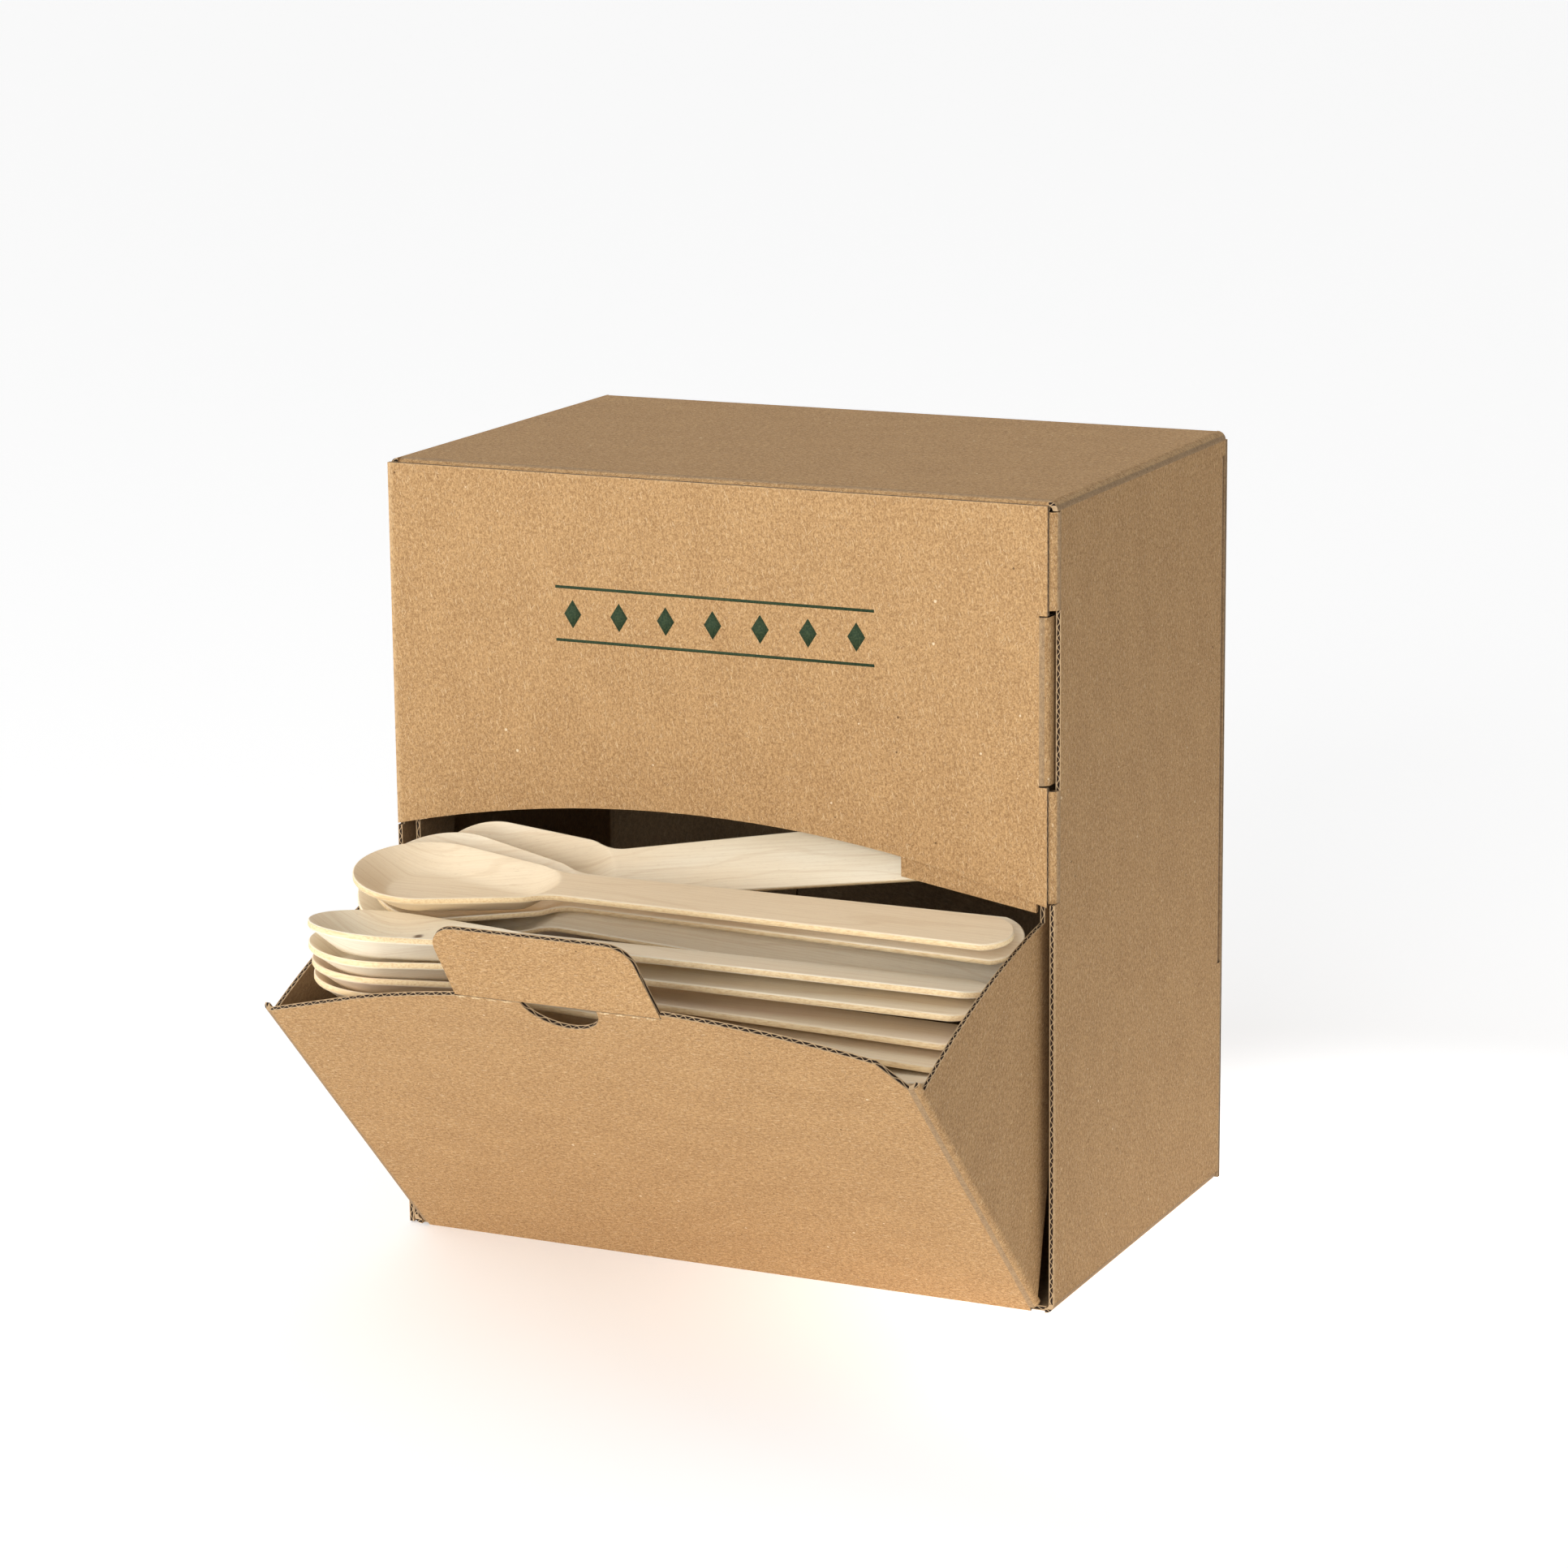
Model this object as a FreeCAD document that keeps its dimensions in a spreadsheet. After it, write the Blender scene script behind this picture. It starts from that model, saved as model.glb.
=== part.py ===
import FreeCAD, Part, Sketcher
import math
import os
import re

# Countertop cutlery dispenser: a die-cut corrugated carton whose lower front tips out as a tray of spoons.
# Frame: millimetres, +Z up, the front faces -Y, origin at the centre of the carton's footprint.
# The carton is folded from one sheet of board, and each panel between two creases is a sub-part. A panel
# owns the rounded crease that joins it to the panel it hangs from. The tray and the front panel turn about
# the outer corner line of their crease, with their board on the inner side of it.

Vector = FreeCAD.Vector
X_AXIS, Y_AXIS, Z_AXIS = Vector(1, 0, 0), Vector(0, 1, 0), Vector(0, 0, 1)

doc = FreeCAD.newDocument("cutlery_dispenser")

# ------------------------------------------------------------------------------------------------- sizes
# Each size is (value, meaning), in millimetres or degrees.

CARTON_SIZES = {
    "spoon_room": (15, "carton width beyond one spoon's length"),
    "carton_depth": (115, "outside depth, front to back"),
    "carton_height": (195, "outside height"),
    "board": (1.2, "thickness of the corrugated board"),
    "bend": (2.2, "outer radius of a folded crease"),
    "ply_gap": (0.1, "gap between two plies that lie on each other"),
    "cut_gap": (0.4, "gap left where the blank is cut through"),
}
DOOR_SIZES = {
    "door_right_inset": (2, "raw right edge of the front panel, in from the side"),
    "door_top_inset": (1, "raw top edge of the front panel, below the top"),
    "arch_peak_height": (113.2, "top of the front panel's arched lower edge"),
    "arch_peak_x": (-9, "where the arch peaks"),
    "arch_radius": (329, "radius of the arch"),
    "lock_tab_low": (128.3, "lower side of the lock tab"),
    "lock_tab_high": (168, "upper side of the lock tab"),
    "lock_tab_reach": (11, "how far the lock tab reaches into the carton"),
    "lock_tab_inset": (1.8, "outer face of the lock tab, in from the side"),
    "slit_margin": (1.5, "slit beyond the lock tab at each end"),
}
FLAP_SIZES = {
    "tuck_length": (22, "drop of the top's tuck flap below its crease"),
    "tuck_right_x": (46, "right end of the tuck flap"),
    "return_reach": (39.5, "reach of the return flap from the right side"),
    "return_low": (97.5, "lowest point of the return flap, beside the tray's gusset"),
    "return_free_low": (103, "lower corner of the return flap at its free end"),
    "side_step": (100, "height where the sides' raw front edges give way to creases"),
    "dust_reach": (56, "reach of a back dust flap from its side"),
    "dust_low": (58, "lower edge of a back dust flap"),
    "dust_top_inset": (6, "upper edge of a back dust flap, below the top"),
    "closing_flap_height": (48, "height of the flap glued inside the back"),
    "seam_flap_height": (30, "height of the seam flap glued inside the left side"),
    "floor_clearance": (0.3, "raw lower edges above the table"),
}
TRAY_SIZES = {
    "tray_tilt": (44, "rest angle of the tray from upright"),
    "tray_side_gap": (2.3, "gap between a side panel and the tray's gusset"),
    "tray_corner_height": (104, "height of the tray's side creases"),
    "lip_peak_height": (125.5, "highest point of the arched lip"),
    "lip_peak_x": (10, "where the lip peaks"),
    "lip_radius": (200, "radius of the arched lip"),
    "lip_left_x": (-54, "left end of the lip's arc"),
    "lip_right_x": (77, "right end of the lip's arc"),
    "gusset_foot": (4, "start of a gusset above the hinge"),
    "gusset_front_height": (100.2, "upper edge of a gusset where it leaves the tray panel"),
    "gusset_edge_radius": (235, "radius of that edge on its way to the ear"),
    "ear_foot_radius": (95, "hinge to the foot of the ear's front edge"),
    "ear_radius": (107, "hinge to the top of the ear"),
    "ear_gap": (0.3, "gap between the ear and the flap that stops it"),
    "ear_span": (10, "width of the ear in degrees about the hinge"),
    "slot_middle_x": (1.7, "middle of the half-moon finger slot"),
    "slot_width": (19.4, "width of the finger slot at the crease"),
    "slot_depth": (9.5, "depth of the finger slot"),
    "tab_left_x": (-24.5, "left end of the pull tab's crease"),
    "tab_right_x": (27.5, "right end of the pull tab's crease"),
    "tab_crease_height": (122.8, "height of that crease on the tray panel"),
    "tab_height": (22, "height of the pull tab"),
    "tab_left_lean": (-1, "how far the tab's left side leans in"),
    "tab_right_lean": (2.5, "how far the tab's right side leans in"),
    "tab_left_corner": (7, "radius of the tab's left corner"),
    "tab_right_corner": (6, "radius of the tab's right corner"),
    "tab_bend": (12, "how far the tab is bent in from the tray panel"),
}
SPOON_SIZES = {
    "spoon_length": (160, "overall length"),
    "veneer": (1.7, "thickness of the birch veneer"),
    "bowl_tip": (17.2, "half width of the bowl, and radius of its tip"),
    "bowl_heel": (10.5, "radius of the bowl beside the neck"),
    "bowl_heel_x": (40, "centre of that radius, from the tip"),
    "bowl_depth": (5.2, "depth of the dish"),
    "bowl_wall": (8, "width of the dish's sloping wall"),
    "neck_half_width": (6.4, "half width of the handle at the neck"),
    "handle_half_width": (8.4, "half width of the handle at its end"),
    "handle_end_ease": (0.4, "how far the end's radius exceeds its half width"),
    "neck_fillet": (12, "radius between bowl and handle"),
    "nest_height": (38, "height of the bundle of nested spoons at the back of the stock"),
}
ALL_SIZES = {**CARTON_SIZES, **DOOR_SIZES, **FLAP_SIZES, **TRAY_SIZES, **SPOON_SIZES}

sheet = doc.addObject("Spreadsheet::Sheet", "Sizes")
for row, (alias, (value, meaning)) in enumerate(ALL_SIZES.items(), start=1):
    sheet.set("A%d" % row, alias)
    sheet.set("B%d" % row, str(value))
    sheet.set("C%d" % row, meaning)
    sheet.setAlias("B%d" % row, alias)
doc.recompute()

# Planes of the carton, as formulas of the sizes. A size's name stands in braces.
HALF_WIDTH = "(({spoon_length} + {spoon_room}) / 2)"
LEFT, RIGHT = "(-%s)" % HALF_WIDTH, HALF_WIDTH
FRONT, BACK = "(-{carton_depth} / 2)", "({carton_depth} / 2)"
TOP = "{carton_height}"
PLY = "({board} + {ply_gap})"
INNER_LEFT, INNER_RIGHT = "(%s + {board})" % LEFT, "(%s - {board})" % RIGHT
INNER_FRONT, INNER_BACK = "(%s + %s)" % (FRONT, PLY), "(%s - %s)" % (BACK, PLY)
CREASE_LEFT, CREASE_RIGHT = "(%s + {bend})" % LEFT, "(%s - {bend})" % RIGHT
CREASE_TOP = "(%s - {bend})" % TOP
CREASE_INNER_FRONT, CREASE_INNER_BACK = "(%s + {bend})" % INNER_FRONT, "(%s - {bend})" % INNER_BACK
GUSSET_OUTSIDE = "(%s - {tray_side_gap})" % INNER_RIGHT
SLIT_LOW, SLIT_HIGH = "({lock_tab_low} - {slit_margin})", "({lock_tab_high} + {slit_margin})"
LOCK_FACE = "(%s - {lock_tab_inset})" % RIGHT

pieces = {}


# ------------------------------------------------------------------------------------------- drawing tools

def expr(text):
    """Formula text with each {size} turned into a reference to the sheet."""
    return re.sub(r"\{(\w+)\}", r"Sizes.\1", text)


def number(text):
    return float(sheet.evalExpression(expr(text)))


def bind(item, formulas):
    """Tie properties of an object to formulas of the sizes."""
    for name, text in formulas.items():
        item.setExpression(name, expr(text))
    return item


def keep(item, label):
    """Make an object a sub-part of the dispenser."""
    item.Label = label
    pieces[label] = item
    return item


def slab(x, y, z):
    """Flat board between a low and a high plane along each axis."""
    box = doc.addObject("Part::Box", "Slab")
    for length, name, (low, high) in (("Length", "x", x), ("Width", "y", y), ("Height", "z", z)):
        bind(box, {length: "%s - %s" % (high, low), "Placement.Base." + name: low})
    return box


def crease(x, y, z, first, second):
    """Quarter-round bend of the board. It runs along the axis that has a (low, high) span."""
    places = {}
    for name, value in zip("xyz", (x, y, z)):
        if isinstance(value, tuple):
            places["Height"] = "%s - %s" % (value[1], value[0])
            value = value[0]
        places["Placement.Base." + name] = value
    bend = doc.addObject("Part::Cut", "Crease")
    for end, radius in (("Base", "{bend}"), ("Tool", "{bend} - {board}")):
        tube = doc.addObject("Part::Cylinder", "Tube")
        tube.Angle = 90
        tube.Placement.Rotation = FreeCAD.Rotation(first, second, first.cross(second), "XYZ")
        setattr(bend, end, bind(tube, {"Radius": radius, **places}))
    return bend


def join(label, parts):
    """One panel made of flats and creases."""
    fused = doc.addObject("Part::MultiFuse", label)
    fused.Shapes = parts
    fused.Refine = True
    return keep(fused, label)


def sketch_on(body, role, height="0"):
    """Empty sketch on an origin plane of a body, raised by a formula."""
    sketch = body.newObject("Sketcher::SketchObject", "Sketch")
    plane = [item for item in body.Origin.OriginFeatures if item.Role == role][0]
    sketch.AttachmentSupport = [(plane, "")]
    sketch.MapMode = "FlatFace"
    return bind(sketch, {"AttachmentOffset.Base.z": height})


def dimension(sketch, kind, geometry, text):
    """Driving dimension of a sketch, tied to a formula."""
    index = sketch.addConstraint(Sketcher.Constraint(kind, *geometry, number(text)))
    sketch.setExpression("Constraints[%d]" % index, expr(text))


def arc_between(first, last, radius):
    """Counter-clockwise arc of under half a turn."""
    chord = last - first
    rise = math.sqrt(radius ** 2 - chord.Length ** 2 / 4)
    centre = (first + last) / 2 + Vector(-chord.y, chord.x, 0).normalize() * rise
    angles = [math.atan2(point.y - centre.y, point.x - centre.x) for point in (first, last)]
    return Part.ArcOfCircle(Part.Circle(centre, Z_AXIS, radius), *angles)


def outline(body, role, corners, hollow=()):
    """Closed sketch through corners (x, y) or (x, y, radius), counter-clockwise.

    A radius makes an arc of the side after that corner. It bulges outwards, or inwards if hollow
    lists the corner's number.
    """
    sketch = sketch_on(body, role)
    points = [Vector(number(corner[0]), number(corner[1]), 0) for corner in corners]
    count = len(corners)
    ends = [(2, 1) if index in hollow else (1, 2) for index in range(count)]
    for index, corner in enumerate(corners):
        start, end = points[index], points[(index + 1) % count]
        if len(corner) == 2:
            sketch.addGeometry(Part.LineSegment(start, end))
        elif index in hollow:
            sketch.addGeometry(arc_between(end, start, number(corner[2])))
        else:
            sketch.addGeometry(arc_between(start, end, number(corner[2])))
    for index in range(count):
        following = (index + 1) % count
        meeting = (index, ends[index][1], following, ends[following][0])
        sketch.addConstraint(Sketcher.Constraint("Coincident", *meeting))
    for index, corner in enumerate(corners):
        dimension(sketch, "DistanceX", (-1, 1, index, ends[index][0]), corner[0])
        dimension(sketch, "DistanceY", (-1, 1, index, ends[index][0]), corner[1])
        if len(corner) == 3:
            dimension(sketch, "Radius", (index,), corner[2])
    return sketch


def pad(body, sketch, thickness="{board}", reverse=True):
    """Give a sketch its thickness, towards +Y, -X or -Z where it is reversed."""
    feature = body.newObject("PartDesign::Pad", "Pad")
    feature.Profile = sketch
    feature.Reversed = reverse
    bind(feature, {"Length": thickness})
    doc.recompute()
    return feature


def pocket(body, sketch):
    """Cut a sketch right through the body."""
    before = body.Shape.Volume
    feature = body.newObject("PartDesign::Pocket", "Pocket")
    feature.Profile = sketch
    feature.Type = "ThroughAll"
    feature.Midplane = True
    doc.recompute()
    assert body.Shape.Volume < before, "a pocket of %s cuts nothing" % body.Label
    return feature


def round_edges(body, feature, radius, chosen):
    """Fillet the edges of a feature that a test on each edge's middle chooses."""
    edges = enumerate(feature.Shape.Edges, start=1)
    names = ["Edge%d" % index for index, edge in edges if chosen(edge, edge.CenterOfMass)]
    assert names, "no edge to round on %s" % body.Label
    fillet = body.newObject("PartDesign::Fillet", "Rounding")
    fillet.Base = (feature, names)
    bind(fillet, {"Radius": radius})
    doc.recompute()
    return fillet


def new_body(label):
    return keep(doc.addObject("PartDesign::Body", label), label)


# --------------------------------------------------------------------------------------------- the carton
# The sheet wraps the carton as left side, top, right side and bottom. The back and the upper front are
# closed by flaps that fold down from the top, in from the sides and up from the bottom.

def top_panel():
    """Top of the carton with the creases that run down into the two sides."""
    join("top_panel", [
        slab((CREASE_LEFT, CREASE_RIGHT), (CREASE_INNER_FRONT, "(%s - {bend})" % BACK),
             ("(%s - {board})" % TOP, TOP)),
        crease(CREASE_LEFT, (INNER_FRONT, INNER_BACK), CREASE_TOP, -X_AXIS, Z_AXIS),
        crease(CREASE_RIGHT, (INNER_FRONT, INNER_BACK), CREASE_TOP, Z_AXIS, X_AXIS),
    ])


def bottom_panel():
    """Floor of the carton. Its left crease starts the seam flap glued inside the left side."""
    seam = "(%s + %s + {bend})" % (LEFT, PLY)
    creases = (FRONT, CREASE_INNER_BACK)
    join("bottom_panel", [
        slab((seam, CREASE_RIGHT), (INNER_FRONT, CREASE_INNER_BACK), ("0", "{board}")),
        crease(seam, creases, "{bend}", -Z_AXIS, -X_AXIS),
        crease(CREASE_RIGHT, creases, "{bend}", X_AXIS, -Z_AXIS),
    ])


def side_seam_flap():
    """Flap at the end of the sheet, glued to the inside of the left side."""
    inside = "(%s + %s)" % (LEFT, PLY)
    keep(slab((inside, "(%s + {board})" % inside), (FRONT, CREASE_INNER_BACK),
              ("{bend}", "{seam_flap_height}")), "side_seam_flap")


def side_panel(label, face, lower_edge, front, step):
    """Side of the carton. Its front edge is raw beside the tray and set back above the step."""
    body = new_body(label)
    dust_top = "(%s - {dust_top_inset})" % TOP
    pad(body, outline(body, "YZ_Plane", [
        (FRONT, lower_edge), (INNER_BACK, lower_edge),
        (INNER_BACK, "{dust_low}"), (CREASE_INNER_BACK, "{dust_low}"),
        (CREASE_INNER_BACK, dust_top), (INNER_BACK, dust_top),
        (INNER_BACK, CREASE_TOP), (front, CREASE_TOP), (front, step), (FRONT, step),
    ]))
    bind(body, {"Placement.Base.x": face})


def back_panel():
    """Outer closure of the back, folded down from the top."""
    join("back_panel", [
        slab((LEFT, RIGHT), ("(%s - {board})" % BACK, BACK), ("{floor_clearance}", CREASE_TOP)),
        crease((CREASE_LEFT, CREASE_RIGHT), "(%s - {bend})" % BACK, CREASE_TOP, Y_AXIS, Z_AXIS),
    ])


def back_closing_flap():
    """Flap folded up from the bottom and glued inside the back."""
    left = "(%s + %s + {cut_gap})" % (INNER_LEFT, PLY)
    right = "(%s - {cut_gap})" % INNER_RIGHT
    join("back_closing_flap", [
        slab((left, right), ("(%s - {board})" % INNER_BACK, INNER_BACK), ("{bend}", "{closing_flap_height}")),
        crease((left, right), CREASE_INNER_BACK, "{bend}", -Z_AXIS, Y_AXIS),
    ])


def back_dust_flap(label, corner, span, first, second):
    """Flap folded in from a side behind the back panel."""
    height = ("({dust_low} + {cut_gap})", "(%s - {dust_top_inset} - {cut_gap})" % TOP)
    join(label, [
        slab(span, ("(%s - {board})" % INNER_BACK, INNER_BACK), height),
        crease(corner, CREASE_INNER_BACK, height, first, second),
    ])


def front_tuck_flap():
    """Flap folded down from the top, behind the front panel."""
    join("front_tuck_flap", [
        slab(("(%s + {tray_side_gap})" % INNER_LEFT, "{tuck_right_x}"),
             (INNER_FRONT, "(%s + {board})" % INNER_FRONT),
             ("(%s - {tuck_length})" % CREASE_TOP, CREASE_TOP)),
        crease((CREASE_LEFT, CREASE_RIGHT), CREASE_INNER_FRONT, CREASE_TOP, Z_AXIS, -Y_AXIS),
    ])


def front_return_flap():
    """Flap folded in from the right side, behind the front panel.

    Its corner is relieved over the tray's gusset, and the lock tab's slit parts its crease.
    """
    flap = doc.addObject("PartDesign::Body", "ReturnFlat")
    free_edge = "(%s - {return_reach})" % RIGHT
    relief_edge = "(%s - {board} - {cut_gap})" % GUSSET_OUTSIDE
    relief = "({gusset_front_height} - {cut_gap})"
    slit_edge = "(%s - {bend})" % LOCK_FACE
    upper_end = "(%s - {cut_gap})" % CREASE_TOP
    pad(flap, outline(flap, "XZ_Plane", [
        (free_edge, "{return_free_low}"), (relief_edge, "{return_low}"),
        (relief_edge, relief), (CREASE_RIGHT, relief),
        (CREASE_RIGHT, SLIT_LOW), (slit_edge, SLIT_LOW),
        (slit_edge, SLIT_HIGH), (CREASE_RIGHT, SLIT_HIGH),
        (CREASE_RIGHT, upper_end), (free_edge, upper_end),
    ]))
    bind(flap, {"Placement.Base.y": INNER_FRONT})
    join("front_return_flap", [
        flap,
        crease(CREASE_RIGHT, CREASE_INNER_FRONT, ("{side_step}", SLIT_LOW), -Y_AXIS, X_AXIS),
        crease(CREASE_RIGHT, CREASE_INNER_FRONT, (SLIT_HIGH, upper_end), -Y_AXIS, X_AXIS),
    ])


# ---------------------------------------------------------------------------------------- the front panel

def arch_height(x):
    """Height of the front panel's arched lower edge at a place along X."""
    centre = "({arch_peak_height} - {arch_radius})"
    return "(%s + sqrt({arch_radius}^2 - (%s - {arch_peak_x})^2))" % (centre, x)


def front_panel():
    """Upper front. It swings on the left-hand crease, and its arched lower edge clears the spoons."""
    body = new_body("front_panel")
    right = "(%s - {door_right_inset})" % RIGHT
    top = "(%s - {door_top_inset})" % TOP
    tab_root = "(%s - {bend})" % LOCK_FACE
    tab_low, tab_high = "({lock_tab_low} - {cut_gap})", "({lock_tab_high} + {cut_gap})"
    pad(body, outline(body, "XZ_Plane", [
        (LEFT, arch_height(LEFT), "{arch_radius}"), (right, arch_height(right)),
        (right, tab_low), (tab_root, tab_low), (tab_root, tab_high), (right, tab_high),
        (right, top), (LEFT, top),
    ], hollow=[0]))
    bind(body, {"Placement.Base.y": FRONT})


def front_lock_tab():
    """Tab folded back from the front panel's right edge. It goes into the slit in the corner crease."""
    height = ("{lock_tab_low}", "{lock_tab_high}")
    corner = "(%s - {bend})" % LOCK_FACE
    tongue = ("(%s + {bend})" % FRONT, "(%s + {lock_tab_reach})" % FRONT)
    join("front_lock_tab", [
        slab(("(%s - {board})" % LOCK_FACE, LOCK_FACE), tongue, height),
        crease(corner, "(%s + {bend})" % FRONT, height, -Y_AXIS, X_AXIS),
    ])


# ----------------------------------------------------------------------------------------------- the tray
# The tray is drawn upright, as it stands when shut: its panel's outer face on the front plane, its hinge
# line on the table. It is then tipped out about that line.

TRAY_CREASE = "(%s - {bend})" % GUSSET_OUTSIDE


def lip_height(x):
    """Height of the tray's arched lip above the hinge at a place along X."""
    centre = "({lip_peak_height} - {lip_radius})"
    return "(%s + sqrt({lip_radius}^2 - (%s - {lip_peak_x})^2))" % (centre, x)


def tip_out(item, angle="{tray_tilt}", y=FRONT, z="0"):
    """Turn a piece drawn upright about its own X axis and set that axis down at (y, z)."""
    item.Placement.Rotation = FreeCAD.Rotation(X_AXIS, number(angle))
    bind(item, {"Placement.Rotation.Angle": angle, "Placement.Base.y": y, "Placement.Base.z": z})


def tray_panel():
    """Sloping front of the tray, with an arched lip and a half-moon finger slot under the pull tab."""
    body = new_body("tray_panel")
    left, right = "(-%s)" % TRAY_CREASE, TRAY_CREASE
    pad(body, outline(body, "XZ_Plane", [
        (left, "0"), (right, "0"), (right, "{tray_corner_height}"),
        ("{lip_right_x}", lip_height("{lip_right_x}"), "{lip_radius}"),
        ("{lip_left_x}", lip_height("{lip_left_x}")), (left, "{tray_corner_height}"),
    ]))
    above = "({lip_peak_height} + {board})"
    tab_end = "({tab_right_x} + {cut_gap})"
    pocket(body, outline(body, "XZ_Plane", [
        ("{tab_left_x}", "{tab_crease_height}"), (tab_end, "{tab_crease_height}"),
        (tab_end, above), ("{tab_left_x}", above),
    ]))
    pocket(body, half_moon(body))
    tip_out(body)


def half_moon(body):
    """Finger slot: a circle whose chord of the slot's width lies on the tab's crease."""
    sketch = sketch_on(body, "XZ_Plane")
    radius = "(({slot_width}^2 / 4 + {slot_depth}^2) / (2 * {slot_depth}))"
    height = "({tab_crease_height} - {slot_depth} + %s)" % radius
    middle = Vector(number("{slot_middle_x}"), number(height), 0)
    sketch.addGeometry(Part.Circle(middle, Z_AXIS, number(radius)))
    dimension(sketch, "DistanceX", (-1, 1, 0, 3), "{slot_middle_x}")
    dimension(sketch, "DistanceY", (-1, 1, 0, 3), height)
    dimension(sketch, "Radius", (0,), radius)
    return sketch


def tray_gusset(label, outer_face, crease_x, first, second):
    """Side of the tray. The ear at its back end stops the tray against the carton's front flaps."""
    flat = doc.addObject("PartDesign::Body", "GussetFlat")
    stop = "(%s + {board} + {ear_gap})" % PLY
    ear_angle = "({tray_tilt} + asin(%s / {ear_radius}) / 1 deg)" % stop
    foot_angle = "({tray_tilt} + asin(%s / {ear_foot_radius}) / 1 deg)" % stop
    corners = [("{bend}", "{gusset_foot}")]
    for radius, angle in (("{ear_radius}", "(%s + {ear_span})" % ear_angle),
                          ("{ear_radius}", ear_angle), ("{ear_foot_radius}", foot_angle)):
        corners.append(("(%s * sin(%s))" % (radius, angle), "(%s * cos(%s))" % (radius, angle)))
    corners[-1] += ("{gusset_edge_radius}",)
    corners.append(("{bend}", "{gusset_front_height}"))
    pad(flat, outline(flat, "YZ_Plane", corners))
    bind(flat, {"Placement.Base.x": outer_face})
    bend = crease(crease_x, "{bend}", ("({board} + {cut_gap})", "{tray_corner_height}"), first, second)
    tip_out(join(label, [flat, bend]))


def pull_tab():
    """Tab above the slot, bent in from the tray panel about the inner face of its crease."""
    body = new_body("pull_tab")
    left, right = "({tab_left_x} + {tab_left_lean})", "({tab_right_x} - {tab_right_lean})"
    sheet_of_board = pad(body, outline(body, "XZ_Plane", [
        ("{tab_left_x}", "{ply_gap}"), ("{tab_right_x}", "{ply_gap}"),
        (right, "{tab_height}"), (left, "{tab_height}"),
    ]), reverse=False)
    tab_top, middle = number("{tab_height}"), number("({tab_left_x} + {tab_right_x}) / 2")

    def at_corner(side):
        return lambda edge, centre: (abs(centre.z - tab_top) < 0.01 and side * (centre.x - middle) > 0
                                     and abs(edge.BoundBox.XLength) < 0.01)

    rounded = round_edges(body, sheet_of_board, "{tab_left_corner}", at_corner(-1))
    round_edges(body, rounded, "{tab_right_corner}", at_corner(1))
    crease_y = "(%s + {board} * cos({tray_tilt}) - {tab_crease_height} * sin({tray_tilt}))" % FRONT
    crease_z = "({board} * sin({tray_tilt}) + {tab_crease_height} * cos({tray_tilt}))"
    tip_out(body, "({tray_tilt} - {tab_bend})", crease_y, crease_z)


# --------------------------------------------------------------------------------------------- the spoons
# A spoon lies along X with the bowl's tip at the origin and its rim on Z = 0. Its wall is as thick
# vertically everywhere, so spoons nest when one is moved straight up from another.

def bowl_ring(body, inset, height):
    """Egg-shaped ring: a tip circle and a heel circle joined by their common tangents."""
    sketch = sketch_on(body, "XY_Plane", height)
    tip, heel = "({bowl_tip} - %s)" % inset, "({bowl_heel} - %s)" % inset
    centres = [number("{bowl_tip}"), number("{bowl_heel_x}")]
    radii = [number(tip), number(heel)]
    turn = math.acos((radii[0] - radii[1]) / (centres[1] - centres[0]))
    circles = [Part.Circle(Vector(x, 0, 0), Z_AXIS, radius) for x, radius in zip(centres, radii)]
    sketch.addGeometry(Part.ArcOfCircle(circles[0], turn, 2 * math.pi - turn))
    sketch.addGeometry(Part.ArcOfCircle(circles[1], -turn, turn))
    for side in (1, -1):
        touch = Vector(math.cos(turn), side * math.sin(turn), 0)
        sketch.addGeometry(Part.LineSegment(*[circle.Center + touch * circle.Radius for circle in circles]))
    for joint in ((0, 1, 2, 1), (1, 2, 2, 2), (0, 2, 3, 1), (1, 1, 3, 2)):
        sketch.addConstraint(Sketcher.Constraint("Tangent", *joint))
    for circle, centre, radius in ((0, "{bowl_tip}", tip), (1, "{bowl_heel_x}", heel)):
        sketch.addConstraint(Sketcher.Constraint("PointOnObject", circle, 3, -1))
        dimension(sketch, "DistanceX", (-1, 1, circle, 3), centre)
        dimension(sketch, "Radius", (circle,), radius)
    return sketch


def spoon_blank(body, thickness):
    """Flat outline of a spoon: bowl, handle and the fillets at its neck."""
    pad(body, bowl_ring(body, "0", "0"), thickness)
    end_radius = "({handle_half_width} + {handle_end_ease})"
    end_height = "(%s - sqrt(%s^2 - {handle_half_width}^2))" % (end_radius, end_radius)
    round_end = "({spoon_length} - %s)" % end_height
    blank = pad(body, outline(body, "XY_Plane", [
        ("{bowl_heel_x}", "-{neck_half_width}"), (round_end, "-{handle_half_width}", end_radius),
        (round_end, "{handle_half_width}"), ("{bowl_heel_x}", "{neck_half_width}"),
    ]), thickness)
    heel_end = number("{bowl_heel_x} + {bowl_heel}")

    def at_neck(edge, centre):
        return (edge.BoundBox.ZLength > 0.1 and edge.BoundBox.XLength < 0.01
                and number("{bowl_heel_x}") < centre.x < heel_end)

    return round_edges(body, blank, "{neck_fillet}", at_neck)


def ruled_wall(body, kind, upper, lower):
    """Straight-sided wall between two rings, added to a body or taken from it."""
    wall = body.newObject("PartDesign::" + kind, kind)
    wall.Profile = upper
    wall.Sections = [(lower, [""])]
    wall.Ruled = True
    doc.recompute()


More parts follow.
